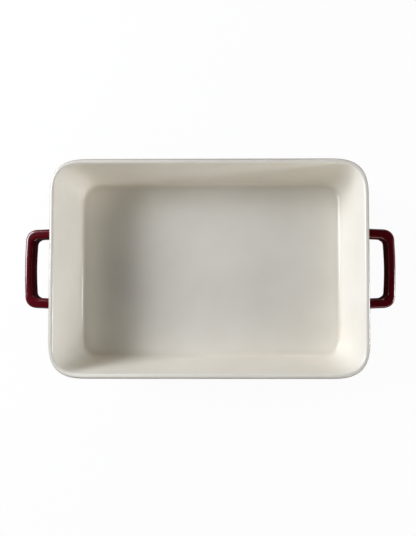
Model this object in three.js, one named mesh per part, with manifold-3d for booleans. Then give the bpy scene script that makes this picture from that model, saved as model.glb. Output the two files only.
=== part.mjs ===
// A rectangular stoneware baking dish with a loop handle at each end.
// The basin and the handles are fired clay. An ivory glaze lines the inside and laps over the rim,
// and a burgundy glaze coats the outside down to the bare foot ring.
// Millimetres, +Z up. The origin is on the table under the middle of the dish, with +X along its length.
import * as THREE from "three";
import { mergeVertices, toCreasedNormals } from "three/addons/utils/BufferGeometryUtils.js";
import Module from "manifold-3d";

// Basin, as fired clay
const RIM_LENGTH = 355;
const RIM_WIDTH = 243.6;
const HEIGHT = 69.5;
const WALL = 4.6;
const FLOOR = 5;
const DRAFT = THREE.MathUtils.degToRad(4.5);
const FLOOR_FILLET = 6;
const HEEL_RADIUS = 10;

// Corners in plan: how far the rim's curve reaches along each side, how much of that is lost
// for each millimetre of inset, the least that is left at the base, and the curve's fullness
const CORNER_REACH = 47;
const CORNER_TIGHTENING = 1.5;
const BASE_CORNER = 18;
const CORNER_POWER = 3.1;

// Foot ring, left bare of glaze
const FOOT_SETBACK = 5;
const FOOT_WIDTH = 7;
const FOOT_HEIGHT = 2;
const FOOT_EDGE = 0.8;

// Glaze coats: their thickness, the bond gap to the clay, and how far the ivory laps down the outer wall
const GLAZE = 0.4;
const BOND = 0.1;
const LINER_LAP = 1.5;

// Loop handles, pressed apart from the basin and luted to its end walls
const HANDLE_REACH = 39.9;
const HANDLE_SPAN = 91.6;
const HANDLE_DROP = 19;
const HANDLE_HEIGHT = 13.5;
const ARM_WIDTH = 11.5;
const BAR_WIDTH = 9.5;
const BEND_SWELL = 2;
const SECTION_CORNER = 4;
const HANDLE_CORNER = 10.5;
const HANDLE_SPLAY = 1.6;
const BAR_BOW = 1;
const ROOT_FLARE = 0.14;
const ROOT_FLARE_LENGTH = 6;

// Gap between separate pieces where they meet
const CLEARANCE = 0.3;

// Largest share of half a side that a rounded corner takes
const FULLEST_CORNER = 0.9;

// Facets: steps round a corner, along an arc of the wall's profile and along a handle
const OUTLINE_STEPS = 12;
const SECTION_STEPS = 4;
const ARC_DIVISIONS = 4;
const ARM_STEPS = 6;
const BEND_STEPS = 8;
const BAR_STEPS = 8;
const CREASE = THREE.MathUtils.degToRad(35);

const IVORY = { color: 0xeae5d9, roughness: 0.23, metalness: 0 };
const BURGUNDY = { color: 0x5c0b1a, roughness: 0.2, metalness: 0 };
const STONEWARE = { color: 0xd8cbb5, roughness: 0.75, metalness: 0 };

const wasm = await Module();
wasm.setup();

// Places that more than one piece is measured from
const RIM_RADIUS = WALL / 2;
const RIM_CENTRE = new THREE.Vector2(RIM_RADIUS, HEIGHT - RIM_RADIUS);
const FLOOR_TOP = FOOT_HEIGHT + FLOOR;
const WALL_ANGLE = Math.PI + DRAFT;
const DOWN_ANGLE = 1.5 * Math.PI;

// A rectangle with soft corners, counter-clockwise: each corner is a quarter of a superellipse,
// whose curve eases out of the straight sides as a moulded corner does.
function softRectangle(halfX, halfY, reach, steps) {
  const power = 2 / CORNER_POWER;
  const round = Math.min(reach, FULLEST_CORNER * halfX, FULLEST_CORNER * halfY);
  const points = [];
  for (let quarter = 0; quarter < 4; quarter += 1) {
    const signX = quarter === 0 || quarter === 3 ? 1 : -1;
    const signY = quarter < 2 ? 1 : -1;
    for (let step = 0; step <= steps; step += 1) {
      const turn = quarter % 2 === 0 ? step / steps : 1 - step / steps;
      const angle = (turn * Math.PI) / 2;
      const alongX = halfX - round + round * Math.max(Math.cos(angle), 0) ** power;
      const alongY = halfY - round + round * Math.max(Math.sin(angle), 0) ** power;
      points.push(new THREE.Vector2(signX * alongX, signY * alongY));
    }
  }
  return points;
}

// The dish's outline at one height, drawn in from the clay rim by an inset
function ringAt({ x: inset, y: height }) {
  const reach = Math.max(CORNER_REACH - CORNER_TIGHTENING * inset, BASE_CORNER);
  const outline = softRectangle(RIM_LENGTH / 2 - inset, RIM_WIDTH / 2 - inset, reach, OUTLINE_STEPS);
  return outline.map((point) => new THREE.Vector3(point.x, point.y, height));
}

// A closed surface through rings of equal length. A loop joins its last ring to its first,
// and any other run of rings gets a flat cap at both ends.
function loft(rings, loop = false) {
  const count = rings[0].length;
  const points = rings.flat();
  const triangles = [];
  const spans = loop ? rings.length : rings.length - 1;
  for (let span = 0; span < spans; span += 1) {
    const here = span * count;
    const there = ((span + 1) % rings.length) * count;
    for (let index = 0; index < count; index += 1) {
      const next = (index + 1) % count;
      triangles.push(here + index, here + next, there + next);
      triangles.push(here + index, there + next, there + index);
    }
  }
  if (!loop) {
    const last = (rings.length - 1) * count;
    const firstMiddle = points.push(middleOf(rings[0])) - 1;
    const lastMiddle = points.push(middleOf(rings.at(-1))) - 1;
    for (let index = 0; index < count; index += 1) {
      const next = (index + 1) % count;
      triangles.push(firstMiddle, next, index);
      triangles.push(lastMiddle, last + index, last + next);
    }
  }
  return new THREE.BufferGeometry().setFromPoints(points).setIndex(triangles);
}

function middleOf(ring) {
  const sum = ring.reduce((total, point) => total.add(point), new THREE.Vector3());
  return sum.divideScalar(ring.length);
}

// Insets of the drafted walls at a height. The outer one may carry a coat.
function outerWallInset(height, coat = 0) {
  const radius = RIM_RADIUS + coat;
  const tangentInset = RIM_CENTRE.x - radius * Math.cos(DRAFT);
  const tangentHeight = RIM_CENTRE.y - radius * Math.sin(DRAFT);
  return tangentInset + (tangentHeight - height) * Math.tan(DRAFT);
}

function innerWallInset(height) {
  const tangentInset = RIM_CENTRE.x + RIM_RADIUS * Math.cos(DRAFT);
  const tangentHeight = RIM_CENTRE.y + RIM_RADIUS * Math.sin(DRAFT);
  return tangentInset + (tangentHeight - height) * Math.tan(DRAFT);
}

// Middles of the floor's fillet and of the heel's round, in inset and height
function filletMiddle() {
  const height = FLOOR_TOP + FLOOR_FILLET;
  const inset = innerWallInset(height - FLOOR_FILLET * Math.sin(DRAFT)) + FLOOR_FILLET * Math.cos(DRAFT);
  return new THREE.Vector2(inset, height);
}

function heelMiddle() {
  const height = FOOT_HEIGHT + HEEL_RADIUS;
  const inset = outerWallInset(height - HEEL_RADIUS * Math.sin(DRAFT)) + HEEL_RADIUS * Math.cos(DRAFT);
  return new THREE.Vector2(inset, height);
}

// The rounds of the profile. A coat keeps their middles and changes their radii.
function rimArc(profile, coat = 0) {
  profile.absarc(RIM_CENTRE.x, RIM_CENTRE.y, RIM_RADIUS + coat, WALL_ANGLE, DRAFT, true);
}

function filletArc(profile, coat = 0) {
  const { x, y } = filletMiddle();
  profile.absarc(x, y, FLOOR_FILLET - coat, WALL_ANGLE, DOWN_ANGLE, false);
}

function heelArc(profile, coat = 0) {
  const { x, y } = heelMiddle();
  profile.absarc(x, y, HEEL_RADIUS + coat, DOWN_ANGLE, WALL_ANGLE, true);
}

// Clay: out along the underside and the foot ring, up the outer wall, over the rim and down to the floor
function stonewareBody() {
  const footOuter = heelMiddle().x + FOOT_SETBACK;
  const footInner = footOuter + FOOT_WIDTH;
  const profile = new THREE.Path();
  profile.moveTo(footInner, FOOT_HEIGHT);
  profile.lineTo(footInner, FOOT_EDGE);
  profile.lineTo(footInner - FOOT_EDGE, 0);
  profile.lineTo(footOuter + FOOT_EDGE, 0);
  profile.lineTo(footOuter, FOOT_EDGE);
  profile.lineTo(footOuter, FOOT_HEIGHT);
  heelArc(profile);
  rimArc(profile);
  filletArc(profile);
  return loft(profile.getPoints(ARC_DIVISIONS).map(ringAt));
}

// One face of the liner coat, from its lap on the outer wall over the rim and down to the floor
function linerFace(coat) {
  const lapHeight = RIM_CENTRE.y - LINER_LAP;
  const profile = new THREE.Path();
  profile.moveTo(outerWallInset(lapHeight, coat), lapHeight);
  rimArc(profile, coat);
  filletArc(profile, coat);
  return profile.getPoints(ARC_DIVISIONS);
}

function linerGlaze() {
  const clayFace = linerFace(BOND).reverse();
  const openFace = linerFace(BOND + GLAZE);
  return loft([...clayFace, ...openFace].map(ringAt));
}

// One face of the outer coat, from the heel up the wall to just under the liner's lap
function outerFace(coat) {
  const topHeight = RIM_CENTRE.y - LINER_LAP - CLEARANCE;
  const profile = new THREE.Path();
  heelArc(profile, coat);
  profile.lineTo(outerWallInset(topHeight, coat), topHeight);
  return profile.getPoints(ARC_DIVISIONS);
}

// The outer coat is a band with an opening round each handle root, because the roots meet the bare clay
function outerGlaze() {
  const openFace = outerFace(BOND + GLAZE);
  const clayFace = outerFace(BOND).reverse();
  const band = solidOf(loft([...openFace, ...clayFace].map(ringAt), true));
  const rightRoots = loopHandle(CLEARANCE);
  const leftRoots = rightRoots.clone().rotateZ(Math.PI);
  return geometryOf(band.subtract(solidOf(rightRoots)).subtract(solidOf(leftRoots)));
}

function solidOf(geometry) {
  const merged = mergeVertices(geometry);
  const vertProperties = new Float32Array(merged.getAttribute("position").array);
  const triVerts = new Uint32Array(merged.getIndex().array);
  return new wasm.Manifold(new wasm.Mesh({ numProp: 3, vertProperties, triVerts }));
}

function geometryOf(solid) {
  const { vertProperties, triVerts } = solid.getMesh();
  const geometry = new THREE.BufferGeometry();
  geometry.setAttribute("position", new THREE.BufferAttribute(vertProperties, 3));
  return geometry.setIndex(new THREE.BufferAttribute(triVerts, 1));
}

// X of the clay end wall at a height
function endWallX(height) {
  return RIM_LENGTH / 2 - outerWallInset(height);
}

// The handle's middle line in plan: an arm, a bend, a slightly bowed bar, and the same back to the wall
function handleLine(height) {
  const middleX = RIM_LENGTH / 2 + HANDLE_REACH - BAR_WIDTH / 2;
  const barY = HANDLE_SPAN / 2 - ARM_WIDTH / 2;
  const at = (x, y) => new THREE.Vector3(x, y, height);
  const crest = at(middleX + BAR_BOW, 0);
  const bendEnd = at(middleX - BAR_BOW, HANDLE_CORNER - barY);
  const lean = (crest.x - bendEnd.x) / (crest.y - bendEnd.y);
  const corner = at(bendEnd.x - HANDLE_CORNER * lean, -barY);
  const root = at(endWallX(height), -barY - HANDLE_SPLAY);
  const armWay = corner.clone().sub(root).normalize();
  const bendStart = corner.clone().addScaledVector(armWay, -HANDLE_CORNER);
  const across = (point) => at(point.x, -point.y);
  return [
    [new THREE.LineCurve3(root, bendStart), ARM_STEPS],
    [new THREE.QuadraticBezierCurve3(bendStart, corner, bendEnd), BEND_STEPS],
    [new THREE.QuadraticBezierCurve3(bendEnd, crest, across(bendEnd)), BAR_STEPS],
    [new THREE.QuadraticBezierCurve3(across(bendEnd), across(corner), across(bendStart)), BEND_STEPS],
    [new THREE.LineCurve3(across(bendStart), across(root)), ARM_STEPS],
  ];
}

// The handle's section at one place on its middle line: wider on the arms than on the bar, swollen
// in the bends, and flared a little towards the root, where the joint is luted
function handleSection(centre, way, margin) {
  const up = new THREE.Vector3(0, 0, 1);
  const side = new THREE.Vector3().crossVectors(up, way);
  const toRoot = Math.max(1 - (centre.x - endWallX(centre.z)) / ROOT_FLARE_LENGTH, 0);
  const flare = 1 + ROOT_FLARE * toRoot ** 2;
  const swell = BEND_SWELL * Math.abs(2 * way.x * way.y);
  const width = THREE.MathUtils.lerp(BAR_WIDTH, ARM_WIDTH, Math.abs(way.x)) + swell;
  const halfWidth = (width * flare) / 2 + margin;
  const halfHeight = (HANDLE_HEIGHT * flare) / 2 + margin;
  const section = softRectangle(halfWidth, halfHeight, SECTION_CORNER + margin, SECTION_STEPS);
  return section.map(({ x, y }) => centre.clone().addScaledVector(side, x).addScaledVector(up, y));
}

// The right-hand handle, grown all round by a margin, with root faces that lie along the drafted wall
function loopHandle(margin = 0) {
  const rings = [];
  for (const [curve, steps] of handleLine(HEIGHT - HANDLE_DROP - HANDLE_HEIGHT / 2)) {
    for (let step = rings.length === 0 ? 0 : 1; step <= steps; step += 1) {
      rings.push(handleSection(curve.getPoint(step / steps), curve.getTangent(step / steps), margin));
    }
  }
  for (const point of [...rings[0], ...rings.at(-1)]) {
    point.x = endWallX(point.z) + CLEARANCE - margin;
  }
  return loft(rings);
}

function piece(name, geometry, finish) {
  const mesh = new THREE.Mesh(toCreasedNormals(geometry, CREASE), new THREE.MeshStandardMaterial(finish));
  mesh.name = name;
  return mesh;
}

const dish = new THREE.Group();
dish.add(piece("stoneware_body", stonewareBody(), STONEWARE));
dish.add(piece("liner_glaze", linerGlaze(), IVORY));
dish.add(piece("outer_glaze", outerGlaze(), BURGUNDY));
dish.add(piece("right_handle", loopHandle(), BURGUNDY));
const leftHandle = piece("left_handle", loopHandle(), BURGUNDY);
leftHandle.rotation.z = Math.PI;
dish.add(leftHandle);

export default dish;
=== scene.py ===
"""A rectangular stoneware baking dish with a loop handle at each end, seen from straight above.

The basin is fired clay. An ivory glaze lines it and laps over the rim, and a burgundy glaze coats the
outside and the handles. Every piece is a ring of points that is drawn along a profile or a path.
"""
import math

import bmesh
import bpy
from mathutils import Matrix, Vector


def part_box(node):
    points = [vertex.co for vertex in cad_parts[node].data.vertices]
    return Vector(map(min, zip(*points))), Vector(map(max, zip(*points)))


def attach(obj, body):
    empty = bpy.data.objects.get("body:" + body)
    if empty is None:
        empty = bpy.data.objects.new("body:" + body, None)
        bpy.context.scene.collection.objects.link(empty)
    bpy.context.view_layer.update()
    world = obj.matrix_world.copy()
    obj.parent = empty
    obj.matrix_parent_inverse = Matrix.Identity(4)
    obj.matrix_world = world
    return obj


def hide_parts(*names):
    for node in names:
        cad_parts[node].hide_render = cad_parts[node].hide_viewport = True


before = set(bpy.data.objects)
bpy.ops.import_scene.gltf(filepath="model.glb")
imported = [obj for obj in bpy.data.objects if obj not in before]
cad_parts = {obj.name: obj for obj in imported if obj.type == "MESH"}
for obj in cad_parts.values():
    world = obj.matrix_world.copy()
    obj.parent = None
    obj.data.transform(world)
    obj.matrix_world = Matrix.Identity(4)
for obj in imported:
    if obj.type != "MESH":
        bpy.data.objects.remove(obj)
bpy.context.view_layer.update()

MM = 0.001
QUARTER = math.pi / 2

# Basin, as fired clay: its length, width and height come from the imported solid
CLAY_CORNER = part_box("stoneware_body")[1]
WALL = 4.6 * MM
FLOOR = 5 * MM
DRAFT = math.radians(4.5)
FLOOR_FILLET = 6 * MM
HEEL_RADIUS = 10 * MM

# Corners in plan
CORNER_REACH = 47 * MM  # of the rim's curve along each side
CORNER_TIGHTENING = 1.5  # what an inset takes from that reach, as a multiple of the inset
BASE_CORNER = 18 * MM  # the least reach
CORNER_POWER = 3.1  # of the superellipse
FULLEST_CORNER = 0.9  # the most that a curve takes of half a side

# Foot ring, left bare of glaze
FOOT_SETBACK = 5 * MM
FOOT_WIDTH = 7 * MM
FOOT_HEIGHT = 2 * MM
FOOT_ROUND = 0.8 * MM

# Glaze coats
BOND = 0.1 * MM  # gap to the clay that the coat is fused to
GLAZE = 0.4 * MM  # thickness
LINER_LAP = 1.5 * MM  # of the ivory on the outside, below the middle of the rim's round
GLAZE_LINE = 0.3 * MM  # left bare under that lap
POOL_REACH = 7 * MM  # of the ivory round the foot of the inner walls, where its creamy pool is partly painted shade
THIN_BAND = 5 * MM  # in which the burgundy thins out under the ivory
# the vertex value of how a glaze has thinned or pooled, which on the ivory also places painted shade
COVER_AND_SHADE = "glaze_cover_and_shade"

# Loop handles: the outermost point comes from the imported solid
HANDLE_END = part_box("right_handle")[1].x
HANDLE_SPAN = 91.6 * MM
HANDLE_DROP = 19 * MM  # from the clay's rim to the handle's top
HANDLE_HEIGHT = 13.5 * MM
ARM_WIDTH = 11.5 * MM
BAR_WIDTH = 9.5 * MM
BEND_SWELL = 2 * MM  # added to the width in the bends
SECTION_CORNER = 4.3 * MM  # reach of the section's round edges
SECTION_POWER = 2.4  # of their superellipse, which the glaze softens
HANDLE_CORNER = 10.5 * MM  # reach of a bend along the middle line
HANDLE_SPLAY = 1.6 * MM  # how much further out an arm's root stands than its bend
BAR_BOW = 1 * MM
ROOT_FLARE = 0.14  # share that the section gains at the root
ROOT_FLARE_LENGTH = 6 * MM
ROOT_GAP = 0.3 * MM  # of slip between the root and the clay wall
LUTING_FILLET = 2.6 * MM

# Fineness of the meshes
DISH_POINTS = 4 * 36  # round a ring of the dish
SECTION_POINTS = 4 * 12  # round a handle's section
CORNER_SHARE = 2 / 3  # of a quarter's points that lie in its corner
RIM_STEPS = 28
FILLET_STEPS = 18
EDGE_STEPS = 6
LUTING_STEPS = 7
BEND_STEPS = 20
PROFILE_GAP = 6 * MM  # the longest step of a profile
BAR_GAP = 3 * MM  # the longest step along a handle

# Places that more than one piece is measured from, as inset from the clay's rim and height
RIM_RADIUS = WALL / 2
RIM_MIDDLE = Vector((RIM_RADIUS, CLAY_CORNER.z - RIM_RADIUS))
FLOOR_TOP = FOOT_HEIGHT + FLOOR
LAP_HEIGHT = RIM_MIDDLE.y - LINER_LAP
WALL_ANGLE = math.pi + DRAFT  # where a round meets a wall
DOWN_ANGLE = 3 * QUARTER  # where a round meets the floor or the underside
MIDDLE_SLOT = 4 * MM  # half the width of the innermost ring

# Camera, fitted to the rim, the floor's edges and the handles in a frame 416 by 536 pixels
FRAME_HEIGHT_PX = 536
FOCAL_PX = 314.055
SENSOR = 36
CAMERA_PLACE = (16.3 * MM, -14.6 * MM, 416.1 * MM)
CAMERA_TURN = (math.radians(1.226), math.radians(0.31), math.radians(-0.031))
FRAME_SHIFT_PX = (-13.9, 6.4)
CLIP_START = 10 * MM

# Lamps, with a nearly white light
LAMP_DISTANCE = 1.2  # metres from the middle of the floor under the dish
LAMP_AIM = Vector((0, 0, 50 * MM))  # the point that they face
COOL_WHITE = "#F2F5FF"
WARM_WHITE = "#FFFAF2"

# White surround, for the camera and for what glossy surfaces mirror
FLOOR_SIZE = 4  # metres from the middle to a side
WHITE_SHARE = 0.95  # of plain white in the open floor
SHADE_SHARE = 0.4  # of plain white in the shade by the foot
SHADE_REACH = 38 * MM  # in which that shade fades out
SHADE_INSET = 15 * MM  # how far under the rim it starts
OPEN_FLOOR = 4.5  # half sizes of the dish, from where on the floor mirrors white; nearer in, it mirrors painted shade
HORIZON_GLOW = 0.12  # height, as a share of a direction, up to which the room mirrors white
DIM = 0.01  # light from the rest of the room

# Patterns in the finishes
NOISE_LOW, NOISE_HIGH = 0.3, 0.7  # most of a cloudy pattern lies between these
CLOUD_SIZE = 45 * MM
CLOUD_DETAIL = 3
GLOSS_SIZE = 30 * MM
GLOSS_DETAIL = 2
RIPPLE_SIZE = 8 * MM
RIPPLE_DETAIL = 2
RIPPLE_HEIGHT = 0.04 * MM
GLAZE_IOR = 1.5
CLAY_ROUGHNESS = 0.8
GRIT_SIZE = 0.6 * MM
GRIT_DETAIL = 4
GRIT_HEIGHT = 0.06 * MM
GRIT_LOW, GRIT_HIGH = 0.35, 0.65  # a grain is darkest at the first and gone at the second
GRIT_SHARE = 0.35
SPECK_GAP = 4 * MM
SPECK_CORE, SPECK_EDGE = 0.06, 0.11  # shares of the gap
SPECK_SHARE = 0.8


# Outlines and profiles

def soft_corner(share, power):
    """How far a corner's curve reaches along its two sides, from 0 to 1, at a share of its turn."""
    ease = power / 2
    lead = share ** ease
    angle = QUARTER * lead / (lead + (1 - share) ** ease)
    return math.cos(angle) ** (1 / ease), math.sin(angle) ** (1 / ease)


def soft_rectangle(turn, half_x, half_y, reach, power):
    """The point at a turn from 0 to 4 round a rectangle whose corners are quarters of a superellipse."""
    quarter = int(turn)
    share = turn - quarter
    near, far = (half_x, half_y) if quarter % 2 == 0 else (half_y, half_x)
    curve = min(reach, FULLEST_CORNER * half_x, FULLEST_CORNER * half_y)
    if share < CORNER_SHARE:
        along, across = soft_corner(share / CORNER_SHARE, power)
        x = near - curve * (1 - along)
        y = far - curve * (1 - across)
    else:
        x = (near - curve) * (1 - 2 * (share - CORNER_SHARE) / (1 - CORNER_SHARE))
        y = far
    for _ in range(quarter):
        x, y = -y, x
    return x, y


def dish_point(station, turn):
    """A point of the dish's outline at a station of its profile, which is an inset and a height."""
    inset, height = station
    reach = max(CORNER_REACH - CORNER_TIGHTENING * inset, BASE_CORNER)
    x, y = soft_rectangle(turn, CLAY_CORNER.x - inset, CLAY_CORNER.y - inset, reach, CORNER_POWER)
    return Vector((x, y, height))


def arc(middle, radius, start, end, steps):
    """Points of an arc in a profile."""
    angles = [start + (end - start) * step / steps for step in range(steps + 1)]
    return [middle + radius * Vector((math.cos(angle), math.sin(angle))) for angle in angles]


def filled_in(points, gap):
    """The same line of points, with even steps where two of them lie further apart than the gap."""
    line = [points[0]]
    for point in points[1:]:
        start = line[-1]
        steps = max(math.ceil((point - start).length / gap), 1)
        line += [start.lerp(point, step / steps) for step in range(1, steps + 1)]
    return line


def outer_wall_inset(height, coat=0):
    """Inset of the drafted outer wall at a height."""
    radius = RIM_RADIUS + coat
    tangent_height = RIM_MIDDLE.y - radius * math.sin(DRAFT)
    return RIM_MIDDLE.x - radius * math.cos(DRAFT) + (tangent_height - height) * math.tan(DRAFT)


def inner_wall_inset(height):
    """Inset of the drafted inner wall at a height."""
    tangent_height = RIM_MIDDLE.y + RIM_RADIUS * math.sin(DRAFT)
    return RIM_MIDDLE.x + RIM_RADIUS * math.cos(DRAFT) + (tangent_height - height) * math.tan(DRAFT)


def rim_arc(coat=0):
    """The round of the rim, from the outer wall over the top to the inner wall."""
    return arc(RIM_MIDDLE, RIM_RADIUS + coat, WALL_ANGLE, DRAFT, RIM_STEPS)


def fillet_arc(coat=0):
    """The round between the inner wall and the floor."""
    height = FLOOR_TOP + FLOOR_FILLET
    inset = inner_wall_inset(height - FLOOR_FILLET * math.sin(DRAFT)) + FLOOR_FILLET * math.cos(DRAFT)
    return arc(Vector((inset, height)), FLOOR_FILLET - coat, WALL_ANGLE, DOWN_ANGLE, FILLET_STEPS)


def heel_arc(coat=0):
    """The round between the underside and the outer wall."""
    height = FOOT_HEIGHT + HEEL_RADIUS
    inset = outer_wall_inset(height - HEEL_RADIUS * math.sin(DRAFT)) + HEEL_RADIUS * math.cos(DRAFT)
    return arc(Vector((inset, height)), HEEL_RADIUS + coat, DOWN_ANGLE, WALL_ANGLE, FILLET_STEPS)


def middle_at(height):
    """The innermost station at a height, a narrow slot along the middle of the dish."""
    return Vector((CLAY_CORNER.y - MIDDLE_SLOT, height))


def liner_cover_and_shade(station, turn):
    """How the ivory lies on the clay: 1 where it thins over the rim's outer edge, -1 where it pools; partly
    painted shade.
    """
    corner = Vector((inner_wall_inset(FLOOR_TOP), FLOOR_TOP))
    pooled_and_shade = max(1 - (station - corner).length / POOL_REACH, 0)
    thin_and_shade = max((RIM_MIDDLE.x - station.x) / RIM_RADIUS, 0)
    return min(thin_and_shade, 1) - pooled_and_shade


def wall_cover(station, turn):
    """How the burgundy lies on the wall: 1 where it thins out under the ivory, -1 where it pools below."""
    thin_and_shade = max(1 - (LAP_HEIGHT - station.y) / THIN_BAND, 0)
    pooled_and_shade = max(1 - (station.y - FOOT_HEIGHT) / HEEL_RADIUS, 0)
    return thin_and_shade - pooled_and_shade


def even_cover(station, turn):
    """Bare clay has no coat to thin out."""
    return 0


# Meshes

def drawn_ring(points, stations, place, cover_and_shade):
    """A tube: a circle of points laid on the first station, then extruded from station to station.

    The place function gives the point at a station for each turn, and the cover_and_shade function how
    the coat has thinned or pooled there, with painted shade on the ivory. The turn and that value are kept
    on the vertices. It returns the mesh, with the edges of the tube's two ends.
    """
    mesh = bmesh.new()
    turn_of = mesh.verts.layers.float.new("turn")
    cover_and_shade_of = mesh.verts.layers.float.new(COVER_AND_SHADE)
    made = bmesh.ops.create_circle(mesh, segments=points, radius=1)["verts"]
    for vert in made:
        vert[turn_of] = math.atan2(vert.co.y, vert.co.x) / QUARTER % 4
    first = last = list(mesh.edges)
    for index, station in enumerate(stations):
        if index > 0:
            made = bmesh.ops.extrude_edge_only(mesh, edges=last)["geom"]
            last = [item for item in made if isinstance(item, bmesh.types.BMEdge) and item.is_boundary]
        for vert in (item for item in made if isinstance(item, bmesh.types.BMVert)):
            vert[cover_and_shade_of] = cover_and_shade(station, vert[turn_of])
            vert.co = place(station, vert[turn_of])
    return mesh, first, last


def close_ends(mesh, *ends):
    """Closes the ends of a tube."""
    for end in ends:
        bmesh.ops.edgeloop_fill(mesh, edges=end)


def finish_piece(name, mesh, material, node):
    """Turns a mesh's faces outwards, shades it smooth and puts it in the node's place."""
    bmesh.ops.recalc_face_normals(mesh, faces=mesh.faces)
    for face in mesh.faces:
        face.smooth = True
    data = bpy.data.meshes.new(name)
    mesh.to_mesh(data)
    mesh.free()
    piece = bpy.data.objects.new(name, data)
    bpy.context.scene.collection.objects.link(piece)
    data.materials.append(material)
    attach(piece, "root")
    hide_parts(node)


def stoneware_basin(material):
    """Pressed clay: the underside, the foot ring, the heel, the walls, the rim and the floor in one skin."""
    heel = heel_arc()
    foot_outer = heel[0].x + FOOT_SETBACK
    foot_inner = foot_outer + FOOT_WIDTH
    inner_round = Vector((foot_inner - FOOT_ROUND, FOOT_ROUND))
    outer_round = Vector((foot_outer + FOOT_ROUND, FOOT_ROUND))
    profile = [middle_at(FOOT_HEIGHT), Vector((foot_inner, FOOT_HEIGHT))]
    profile += arc(inner_round, FOOT_ROUND, 0, -QUARTER, EDGE_STEPS)
    profile += arc(outer_round, FOOT_ROUND, -QUARTER, -2 * QUARTER, EDGE_STEPS)
    profile += [Vector((foot_outer, FOOT_HEIGHT))]
    profile += heel + rim_arc() + fillet_arc() + [middle_at(FLOOR_TOP)]
    mesh, first, last = drawn_ring(DISH_POINTS, filled_in(profile, PROFILE_GAP), dish_point, even_cover)
    close_ends(mesh, first, last)
    finish_piece("stoneware_basin", mesh, material, "stoneware_body")


def lap_round(clay_end, open_end, way):
    """The rounded edge of a coat, between the ends of its two faces: down with a way of -1, up with 1."""
    middle = (clay_end + open_end) / 2
    radius = (clay_end - open_end).length / 2
    return arc(middle, radius, 0, way * math.pi, EDGE_STEPS)[1:-1]


def liner_face(coat):
    """One face of the liner, from its lap on the outer wall over the rim and down to the floor."""
    lap = Vector((outer_wall_inset(LAP_HEIGHT, coat), LAP_HEIGHT))
    return [lap] + rim_arc(coat) + fillet_arc(coat) + [middle_at(FLOOR_TOP + coat)]


def ivory_liner(material):
    """The inner coat, a thin skin with an open face and a clay face that meet in its rounded lap."""
    clay_face = liner_face(BOND)
    open_face = liner_face(BOND + GLAZE)
    profile = clay_face[::-1] + lap_round(clay_face[0], open_face[0], -1) + open_face
    mesh, first, last = drawn_ring(DISH_POINTS, filled_in(profile, PROFILE_GAP), dish_point, liner_cover_and_shade)
    close_ends(mesh, first, last)
    finish_piece("ivory_liner", mesh, material, "liner_glaze")


def outer_face(coat):
    """One face of the outer coat, from the heel up the wall to just under the liner's lap."""
    top_height = LAP_HEIGHT - GLAZE_LINE
    return heel_arc(coat) + [Vector((outer_wall_inset(top_height, coat), top_height))]


def burgundy_coat(material):
    """The outer coat, a closed band round the walls from the heel to the ivory's lap."""
    clay_face = outer_face(BOND)
    open_face = outer_face(BOND + GLAZE)
    profile = open_face + lap_round(clay_face[-1], open_face[-1], 1)[::-1] + clay_face[::-1]
    mesh, first, last = drawn_ring(DISH_POINTS, filled_in(profile, PROFILE_GAP), dish_point, wall_cover)
    bmesh.ops.bridge_loops(mesh, edges=first + last)
    finish_piece("burgundy_coat", mesh, material, "outer_glaze")


# Handles

def end_wall_x(height):
    """X of the clay end wall at a height."""
    return CLAY_CORNER.x - outer_wall_inset(height)


def bezier(start, control, end, share):
    """A point of a curve with one control point, and the curve's direction there."""
    first = start.lerp(control, share)
    second = control.lerp(end, share)
    return first.lerp(second, share), (second - first).normalized()


def handle_stations():
    """Places and directions along the right handle's middle line, from one root to the other."""
    height = CLAY_CORNER.z - HANDLE_DROP - HANDLE_HEIGHT / 2
    middle_x = HANDLE_END - BAR_WIDTH / 2
    bar_y = HANDLE_SPAN / 2 - ARM_WIDTH / 2
    crest = Vector((middle_x + BAR_BOW, 0, height))
    bend_end = Vector((middle_x - BAR_BOW, HANDLE_CORNER - bar_y, height))
    lean = (crest.x - bend_end.x) / (crest.y - bend_end.y)
    corner = Vector((bend_end.x - HANDLE_CORNER * lean, -bar_y, height))
    root = Vector((end_wall_x(height) + ROOT_GAP, -bar_y - HANDLE_SPLAY, height))
    arm_way = (corner - root).normalized()
    bend_start = corner - HANDLE_CORNER * arm_way
    turns = [QUARTER * step / LUTING_STEPS for step in range(LUTING_STEPS)]
    luting = [root + LUTING_FILLET * (1 - math.cos(turn)) * arm_way for turn in turns]
    stations = [(place, arm_way) for place in filled_in(luting + [bend_start], BAR_GAP)]
    for step in range(1, BEND_STEPS + 1):
        stations.append(bezier(bend_start, corner, bend_end, step / BEND_STEPS))
    far_end = bend_end * Vector((1, -1, 1))
    bar_steps = math.ceil(2 * abs(bend_end.y) / BAR_GAP)
    bar = [bezier(bend_end, crest, far_end, step / bar_steps) for step in range(1, bar_steps)]
    mirrored = [(place * Vector((1, -1, 1)), way * Vector((-1, 1, 1))) for place, way in stations]
    return stations + bar + mirrored[::-1]


def handle_point(station, turn):
    """A point of the handle's section: wider on the arms, and flared into the luted joint at the root."""
    centre, way = station
    from_wall = centre.x - end_wall_x(centre.z) - ROOT_GAP
    to_root = max(1 - from_wall / ROOT_FLARE_LENGTH, 0)
    flare = 1 + ROOT_FLARE * to_root ** 2
    in_fillet = max(LUTING_FILLET - from_wall, 0)
    luting = LUTING_FILLET - math.sqrt(max(LUTING_FILLET ** 2 - in_fillet ** 2, 0))
    width = BAR_WIDTH + (ARM_WIDTH - BAR_WIDTH) * abs(way.x) + BEND_SWELL * abs(2 * way.x * way.y)
    half_width = width * flare / 2 + luting
    half_height = HANDLE_HEIGHT * flare / 2 + luting
    across, up = soft_rectangle(turn, half_width, half_height, SECTION_CORNER + luting, SECTION_POWER)
    side = Vector((0, 0, 1)).cross(way)
    point = centre + across * side + Vector((0, 0, up))
    point.x += to_root * (end_wall_x(point.z) - end_wall_x(centre.z))
    return point


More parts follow.
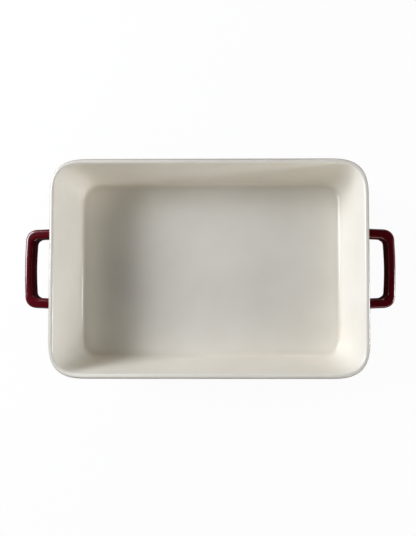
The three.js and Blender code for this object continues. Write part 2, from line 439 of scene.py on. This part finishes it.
def handle_cover(station, turn):
    """How the burgundy lies on a handle: it thins out along the section's four round edges."""
    share = turn % 1 / CORNER_SHARE
    return max(1 - abs(2 * share - 1), 0)


def loop_handle(name, material, node, turned):
    """A bar of clay bent to a U, with its ends luted to the end wall. The left one is turned half round."""
    mesh, first, last = drawn_ring(SECTION_POINTS, handle_stations(), handle_point, handle_cover)
    close_ends(mesh, first, last)
    if turned:
        bmesh.ops.scale(mesh, vec=(-1, -1, 1), verts=mesh.verts)
    finish_piece(name, mesh, material, node)


# Materials

def linear(hex_colour):
    """An sRGB hex colour as linear red, green, blue and alpha."""
    shares = [int(hex_colour[start:start + 2], 16) / 255 for start in (1, 3, 5)]
    return [s / 12.92 if s <= 0.04045 else ((s + 0.055) / 1.055) ** 2.4 for s in shares] + [1]


def add_node(tree, kind, inputs=(), **settings):
    """Adds a node with its settings. An input that is given a socket is linked to it."""
    node = tree.nodes.new(kind)
    for name, value in settings.items():
        setattr(node, name, value)
    for name, value in dict(inputs).items():
        if isinstance(value, bpy.types.NodeSocket):
            tree.links.new(value, node.inputs[name])
        else:
            node.inputs[name].default_value = value
    return node


def new_material(name):
    """An empty material, with its node tree."""
    material = bpy.data.materials.new(name)
    material.use_nodes = True
    material.node_tree.nodes.clear()
    return material, material.node_tree


def tinted(tree, ground, tints):
    """A ground colour with tints laid over it in turn, each at the share that its socket gives.

    The colours go in at sockets 6 and 7 of a Mix node and come out at 2, because their names are used twice.
    """
    colour = linear(ground)
    for share, tint in tints:
        layer = add_node(tree, "ShaderNodeMix", {0: share, 6: colour, 7: linear(tint)}, data_type="RGBA")
        colour = layer.outputs[2]
    return colour


def clouds(tree, place):
    """Large soft patches, from 0 to 1, in which a fired surface varies."""
    cloud = add_node(tree, "ShaderNodeTexNoise", {
        "Vector": place, "Scale": 1 / CLOUD_SIZE, "Detail": CLOUD_DETAIL})
    spread = add_node(tree, "ShaderNodeMapRange", {
        "Value": cloud.outputs["Fac"], "From Min": NOISE_LOW, "From Max": NOISE_HIGH})
    return spread.outputs["Result"]


def glossy_glaze(name, ground, clouded, thin_and_shade, pooled_and_shade, roughness):
    """Glass fired on clay: a clouded colour, other tones where it thins or pools, on the ivory partly painted
    shade, a rippled gloss.
    """
    material, tree = new_material(name)
    place = add_node(tree, "ShaderNodeTexCoord").outputs["Object"]
    cover_and_shade = add_node(tree, "ShaderNodeAttribute", attribute_name=COVER_AND_SHADE).outputs["Fac"]
    thin_and_shade_share = add_node(tree, "ShaderNodeMapRange", {"Value": cover_and_shade})
    pooled_and_shade_share = add_node(tree, "ShaderNodeMapRange", {
        "Value": cover_and_shade, "From Min": -1, "From Max": 0, "To Min": 1, "To Max": 0})
    # On the ivory the grey tone over the rim's outer edge and the creamy tone in the fillet are partly
    # painted shade
    colour = tinted(tree, ground, [
        (clouds(tree, place), clouded),
        (thin_and_shade_share.outputs["Result"], thin_and_shade),
        (pooled_and_shade_share.outputs["Result"], pooled_and_shade)])
    patch = add_node(tree, "ShaderNodeTexNoise", {
        "Vector": place, "Scale": 1 / GLOSS_SIZE, "Detail": GLOSS_DETAIL})
    gloss = add_node(tree, "ShaderNodeMapRange", {
        "Value": patch.outputs["Fac"], "From Min": NOISE_LOW, "From Max": NOISE_HIGH,
        "To Min": roughness[0], "To Max": roughness[1]})
    ripple = add_node(tree, "ShaderNodeTexNoise", {
        "Vector": place, "Scale": 1 / RIPPLE_SIZE, "Detail": RIPPLE_DETAIL})
    relief = add_node(tree, "ShaderNodeBump", {
        "Height": ripple.outputs["Fac"], "Strength": 1, "Distance": RIPPLE_HEIGHT})
    shader = add_node(tree, "ShaderNodeBsdfPrincipled", {
        "Base Color": colour, "Roughness": gloss.outputs["Result"], "IOR": GLAZE_IOR,
        "Normal": relief.outputs["Normal"]})
    add_node(tree, "ShaderNodeOutputMaterial", {"Surface": shader.outputs["BSDF"]})
    return material


def bare_stoneware():
    """Unglazed fired clay on the foot ring and the underside: dry, buff, finely gritty, with iron specks."""
    material, tree = new_material("bare_stoneware")
    place = add_node(tree, "ShaderNodeTexCoord").outputs["Object"]
    grit = add_node(tree, "ShaderNodeTexNoise", {
        "Vector": place, "Scale": 1 / GRIT_SIZE, "Detail": GRIT_DETAIL}).outputs["Fac"]
    grain = add_node(tree, "ShaderNodeMapRange", {
        "Value": grit, "From Min": GRIT_LOW, "From Max": GRIT_HIGH, "To Min": GRIT_SHARE, "To Max": 0})
    scatter = add_node(tree, "ShaderNodeTexVoronoi", {"Vector": place, "Scale": 1 / SPECK_GAP})
    speck = add_node(tree, "ShaderNodeMapRange", {
        "Value": scatter.outputs["Distance"], "From Min": SPECK_CORE, "From Max": SPECK_EDGE,
        "To Min": SPECK_SHARE, "To Max": 0})
    colour = tinted(tree, "#DCCFB9", [
        (clouds(tree, place), "#CFC0A8"),
        (grain.outputs["Result"], "#A9967A"),
        (speck.outputs["Result"], "#6B5640")])
    relief = add_node(tree, "ShaderNodeBump", {"Height": grit, "Strength": 1, "Distance": GRIT_HEIGHT})
    shader = add_node(tree, "ShaderNodeBsdfPrincipled", {
        "Base Color": colour, "Roughness": CLAY_ROUGHNESS, "Normal": relief.outputs["Normal"]})
    add_node(tree, "ShaderNodeOutputMaterial", {"Surface": shader.outputs["BSDF"]})
    return material


# Studio

def seen_in_gloss(tree, rays):
    """1 for rays that come by way of a glossy or a clear surface."""
    seen = add_node(tree, "ShaderNodeMath", {
        0: rays["Is Glossy Ray"], 1: rays["Is Transmission Ray"]}, operation="MAXIMUM")
    return seen.outputs["Value"]


def off_the_foot(tree, place):
    """How far a place on the floor lies outside the rectangle under the dish from which its shade fades."""
    base = (CLAY_CORNER.x - SHADE_INSET, CLAY_CORNER.y - SHADE_INSET, 0)
    side = add_node(tree, "ShaderNodeVectorMath", {0: place}, operation="ABSOLUTE")
    past = add_node(tree, "ShaderNodeVectorMath", {0: side.outputs["Vector"], 1: base}, operation="SUBTRACT")
    outside = add_node(tree, "ShaderNodeVectorMath", {
        0: past.outputs["Vector"], 1: (0, 0, 0)}, operation="MAXIMUM")
    gap = add_node(tree, "ShaderNodeVectorMath", {0: outside.outputs["Vector"]}, operation="LENGTH")
    return gap.outputs["Value"]


def pale_paper():
    """Paper that looks white but keeps the shadow, mostly by the foot, and mirrors painted shade near the
    dish.
    """
    material, tree = new_material("pale_paper")
    rays = add_node(tree, "ShaderNodeLightPath").outputs
    place = add_node(tree, "ShaderNodeTexCoord").outputs["Object"]
    mirrored = seen_in_gloss(tree, rays)
    # Glossy surfaces see the floor's white fade out towards the dish, a painted shade in reflections
    spread = add_node(tree, "ShaderNodeVectorMath", {
        0: place, 1: (1 / HANDLE_END, 1 / CLAY_CORNER.y, 0)}, operation="MULTIPLY")
    away = add_node(tree, "ShaderNodeVectorMath", {0: spread.outputs["Vector"]}, operation="LENGTH")
    past_painted_shade = add_node(tree, "ShaderNodeMapRange", {
        "Value": away.outputs["Value"], "From Min": 1, "From Max": OPEN_FLOOR})
    shown = add_node(tree, "ShaderNodeMath", {0: mirrored, 1: past_painted_shade.outputs["Result"]}, operation="MULTIPLY")
    strength = add_node(tree, "ShaderNodeMath", {
        0: rays["Is Camera Ray"], 1: shown.outputs["Value"]}, operation="MAXIMUM")
    pale = add_node(tree, "ShaderNodeMapRange", {
        "Value": off_the_foot(tree, place), "From Max": SHADE_REACH,
        "To Min": SHADE_SHARE, "To Max": WHITE_SHARE})
    seen = add_node(tree, "ShaderNodeMath", {
        0: rays["Is Camera Ray"], 1: pale.outputs["Result"]}, operation="MULTIPLY")
    glossed = add_node(tree, "ShaderNodeMath", {0: mirrored, 1: WHITE_SHARE}, operation="MULTIPLY")
    share = add_node(tree, "ShaderNodeMath", {
        0: seen.outputs["Value"], 1: glossed.outputs["Value"]}, operation="MAXIMUM")
    paper = add_node(tree, "ShaderNodeBsdfDiffuse", {"Color": linear("#F0F0F0")})
    white = add_node(tree, "ShaderNodeEmission", {
        "Color": linear("#FFFFFF"), "Strength": strength.outputs["Value"]})
    mix = add_node(tree, "ShaderNodeMixShader", {
        0: share.outputs["Value"], 1: paper.outputs["BSDF"], 2: white.outputs["Emission"]})
    add_node(tree, "ShaderNodeOutputMaterial", {"Surface": mix.outputs["Shader"]})
    return material


def pale_floor(material):
    """A large pale sheet under the dish."""
    mesh = bmesh.new()
    bmesh.ops.create_grid(mesh, x_segments=1, y_segments=1, size=FLOOR_SIZE)
    data = bpy.data.meshes.new("pale_floor")
    mesh.to_mesh(data)
    mesh.free()
    floor = bpy.data.objects.new("pale_floor", data)
    bpy.context.scene.collection.objects.link(floor)
    data.materials.append(material)


def softbox(name, azimuth, elevation, size, watts, colour):
    """A soft lamp that faces the dish, with its size in metres and its place in degrees.

    An azimuth of 0 stands on +X, and one of 90 on +Y.
    """
    turn = math.radians(azimuth)
    rise = math.radians(elevation)
    level = LAMP_DISTANCE * math.cos(rise)
    place = Vector((level * math.cos(turn), level * math.sin(turn), LAMP_DISTANCE * math.sin(rise)))
    lamp = bpy.data.lights.new(name, "AREA")
    lamp.shape = "RECTANGLE"
    lamp.size, lamp.size_y = size
    lamp.energy = watts
    lamp.color = linear(colour)[:3]
    holder = bpy.data.objects.new(name, lamp)
    holder.location = place
    holder.rotation_euler = (LAMP_AIM - place).to_track_quat("-Z", "Y").to_euler()
    bpy.context.scene.collection.objects.link(holder)


def studio_lamps():
    """A strong softbox low on the left, weaker ones on the right and in front, and a little from the back."""
    softbox("left_softbox", azimuth=163, elevation=28.25, size=(0.69, 0.42), watts=18, colour=COOL_WHITE)
    softbox("left_fill", azimuth=157.5, elevation=42, size=(0.48, 0.13), watts=1.5, colour=COOL_WHITE)
    softbox("right_strip", azimuth=-7, elevation=12.75, size=(0.32, 0.08), watts=8.7, colour=COOL_WHITE)
    softbox("right_softbox", azimuth=-5, elevation=24, size=(0.59, 0.51), watts=0.9, colour=COOL_WHITE)
    softbox("front_softbox", azimuth=-69, elevation=22.5, size=(1.61, 0.17), watts=4.4, colour=WARM_WHITE)
    softbox("back_softbox", azimuth=65, elevation=30, size=(0.22, 0.36), watts=1.6, colour=WARM_WHITE)


def studio_room():
    """A dim room that looks white, and that glossy surfaces mirror white along the horizon."""
    world = bpy.data.worlds.new("studio")
    bpy.context.scene.world = world
    world.use_nodes = True
    tree = world.node_tree
    tree.nodes.clear()
    rays = add_node(tree, "ShaderNodeLightPath").outputs
    way = add_node(tree, "ShaderNodeTexCoord").outputs["Generated"]
    height = add_node(tree, "ShaderNodeSeparateXYZ", {0: way}).outputs["Z"]
    low = add_node(tree, "ShaderNodeMapRange", {
        "Value": height, "From Min": HORIZON_GLOW, "From Max": 2 * HORIZON_GLOW, "To Min": 1, "To Max": 0})
    mirrored = add_node(tree, "ShaderNodeMath", {
        0: seen_in_gloss(tree, rays), 1: low.outputs["Result"]}, operation="MULTIPLY")
    seen = add_node(tree, "ShaderNodeMath", {
        0: rays["Is Camera Ray"], 1: mirrored.outputs["Value"]}, operation="MAXIMUM")
    strength = add_node(tree, "ShaderNodeMapRange", {"Value": seen.outputs["Value"], "To Min": DIM})
    sky = add_node(tree, "ShaderNodeBackground", {
        "Color": linear("#FFFFFF"), "Strength": strength.outputs["Result"]})
    add_node(tree, "ShaderNodeOutputWorld", {"Surface": sky.outputs["Background"]})


def overhead_camera():
    """The view from above, a little right of the middle."""
    camera = bpy.data.cameras.new("overhead_camera")
    camera.sensor_width = SENSOR
    camera.lens = FOCAL_PX / FRAME_HEIGHT_PX * SENSOR
    camera.shift_x, camera.shift_y = (shift / FRAME_HEIGHT_PX for shift in FRAME_SHIFT_PX)
    camera.clip_start = CLIP_START
    holder = bpy.data.objects.new("overhead_camera", camera)
    holder.location = CAMERA_PLACE
    holder.rotation_euler = CAMERA_TURN
    bpy.context.scene.collection.objects.link(holder)
    bpy.context.scene.camera = holder


# A warm white that greys where it thins out over the rim and turns creamy where it pools, both partly painted
# shade, with a soft sheen
ivory = glossy_glaze("glossy_ivory_glaze", ground="#EAE6DA", clouded="#E6E1D4", thin_and_shade="#A09688",
                     pooled_and_shade="#DDD6C4", roughness=(0.2, 0.27))
# A deep wine red that breaks to brown on edges and is nearly black where it pools, with a wet gloss
burgundy = glossy_glaze("glossy_burgundy_glaze", ground="#580812", clouded="#4C060E", thin_and_shade="#5E1217",
                        pooled_and_shade="#3A040A", roughness=(0.13, 0.18))
stoneware_basin(bare_stoneware())
ivory_liner(ivory)
burgundy_coat(burgundy)
loop_handle("handle_right", burgundy, "right_handle", turned=False)
loop_handle("handle_left", burgundy, "left_handle", turned=True)
pale_floor(pale_paper())
studio_lamps()
studio_room()
overhead_camera()
bpy.context.scene.view_settings.view_transform = "Standard"
